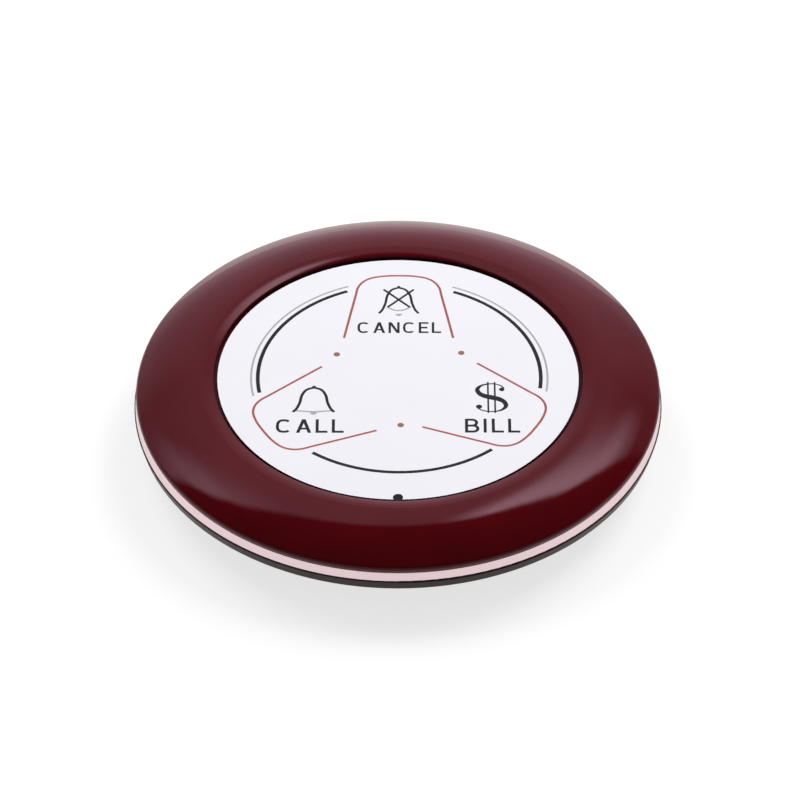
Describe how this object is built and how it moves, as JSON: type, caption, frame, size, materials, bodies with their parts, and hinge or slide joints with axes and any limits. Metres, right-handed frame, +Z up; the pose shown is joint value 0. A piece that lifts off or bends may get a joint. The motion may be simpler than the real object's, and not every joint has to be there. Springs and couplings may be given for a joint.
{
  "type": "waiter call button",
  "caption": "Slim round wireless table call button: domed cover, bright trim band, recessed face label over sprung keys, coin-slot battery door and rubber feet.",
  "frame": {"origin": "centre of the circle on the table that the four rubber feet stand on, under the middle of the case", "axes": "+Z up out of the face label, -Y towards the person and the status light, +X to that person's right"},
  "size_m": [0.0903, 0.0904, 0.0126],
  "materials": {
    "cover_plastic": "polished",
    "trim_metal": "satin",
    "base_plastic": "fine texture",
    "seal_rubber": "satin",
    "foot_rubber": "satin",
    "label_film": "satin print",
    "adhesive_film": null,
    "clear_plastic": "clear",
    "board_laminate": "solder mask",
    "chip_plastic": "moulded",
    "plated_metal": "nickel plated",
    "led_resin": "clear resin",
    "capacitor_ceramic": null,
    "copper_wire": "bare wire",
    "holder_plastic": "moulded",
    "key_plastic": "moulded",
    "screw_steel": "zinc plated"
  },
  "bodies": {
    "housing": {"top_cover": "cover_plastic", "trim_band": "trim_metal", "base": "base_plastic", "case_seal": "seal_rubber", "foot_pads": "foot_rubber", "face_overlay": "label_film", "overlay_adhesive": "adhesive_film", "light_guide": "clear_plastic", "circuit_board": "board_laminate", "controller_chip": "chip_plastic", "crystal": "plated_metal", "transistor": "chip_plastic", "status_led": "led_resin", "chip_capacitors": "capacitor_ceramic", "chip_resistors": "chip_plastic", "antenna_coil": "copper_wire", "coin_cell": "plated_metal", "battery_holder": "holder_plastic", "negative_contact": "plated_metal", "positive_contact": "plated_metal", "case_screws": "screw_steel", "board_screws": "screw_steel", "cancel_switch_body": "holder_plastic", "call_switch_body": "holder_plastic", "bill_switch_body": "holder_plastic"},
    "battery_door": {"battery_door": "base_plastic", "door_seal": "seal_rubber"},
    "cancel_key": {"cancel_key": "key_plastic"},
    "cancel_plunger": {"cancel_switch_plunger": "key_plastic"},
    "call_key": {"call_key": "key_plastic"},
    "call_plunger": {"call_switch_plunger": "key_plastic"},
    "bill_key": {"bill_key": "key_plastic"},
    "bill_plunger": {"bill_switch_plunger": "key_plastic"}
  },
  "joints": [
    {"name": "cancel_key_press", "type": "slide", "parent": "housing", "child": "cancel_key", "axis": [0, 0, -1], "range_m": [0, 0.00035], "stiffness_N_per_m": 4500},
    {"name": "cancel_plunger_press", "type": "slide", "parent": "housing", "child": "cancel_plunger", "axis": [0, 0, -1], "range_m": [0, 0.00035]},
    {"name": "call_key_press", "type": "slide", "parent": "housing", "child": "call_key", "axis": [0, 0, -1], "range_m": [0, 0.00035], "stiffness_N_per_m": 4500},
    {"name": "call_plunger_press", "type": "slide", "parent": "housing", "child": "call_plunger", "axis": [0, 0, -1], "range_m": [0, 0.00035]},
    {"name": "bill_key_press", "type": "slide", "parent": "housing", "child": "bill_key", "axis": [0, 0, -1], "range_m": [0, 0.00035], "stiffness_N_per_m": 4500},
    {"name": "bill_plunger_press", "type": "slide", "parent": "housing", "child": "bill_plunger", "axis": [0, 0, -1], "range_m": [0, 0.00035]},
    {"name": "battery_door_turn", "type": "hinge", "parent": "housing", "child": "battery_door", "pos_m": [0, 0, 0.0008], "axis": [0, 0, -1], "range_deg": [0, 40]}
  ],
  "couplings": [
    {"joint": "cancel_plunger_press", "follows": "cancel_key_press", "ratio": 1},
    {"joint": "call_plunger_press", "follows": "call_key_press", "ratio": 1},
    {"joint": "bill_plunger_press", "follows": "bill_key_press", "ratio": 1}
  ]
}
